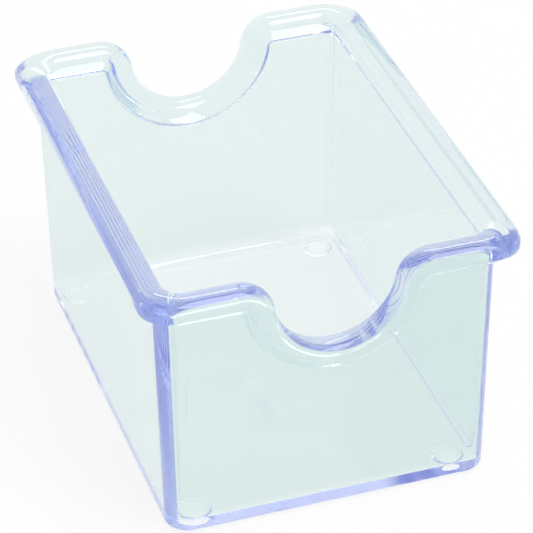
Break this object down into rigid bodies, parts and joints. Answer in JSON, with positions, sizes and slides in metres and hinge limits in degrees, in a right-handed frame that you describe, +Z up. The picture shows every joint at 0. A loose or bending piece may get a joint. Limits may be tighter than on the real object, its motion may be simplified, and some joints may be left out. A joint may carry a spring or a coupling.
{
  "type": "sugar packet holder",
  "caption": "Clear open-topped plastic box with a rolled rim and a round finger gap in each end; it stands on a table and holds a row of upright sugar packets.",
  "frame": {"origin": "on the table under the middle of the box", "axes": "+Y along the length of the box, +Z up, front at -Y and left at -X"},
  "size_m": [0.072, 0.0958, 0.055],
  "materials": {
    "clear_plastic": "polished"
  },
  "bodies": {
    "root": {"floor_panel": "clear_plastic", "front_end_wall": "clear_plastic", "rear_end_wall": "clear_plastic", "left_side_wall": "clear_plastic", "right_side_wall": "clear_plastic", "front_rim": "clear_plastic", "rear_rim": "clear_plastic", "left_rim": "clear_plastic", "right_rim": "clear_plastic", "foot_front_left": "clear_plastic", "foot_front_right": "clear_plastic", "foot_rear_left": "clear_plastic", "foot_rear_right": "clear_plastic"}
  },
  "joints": []
}
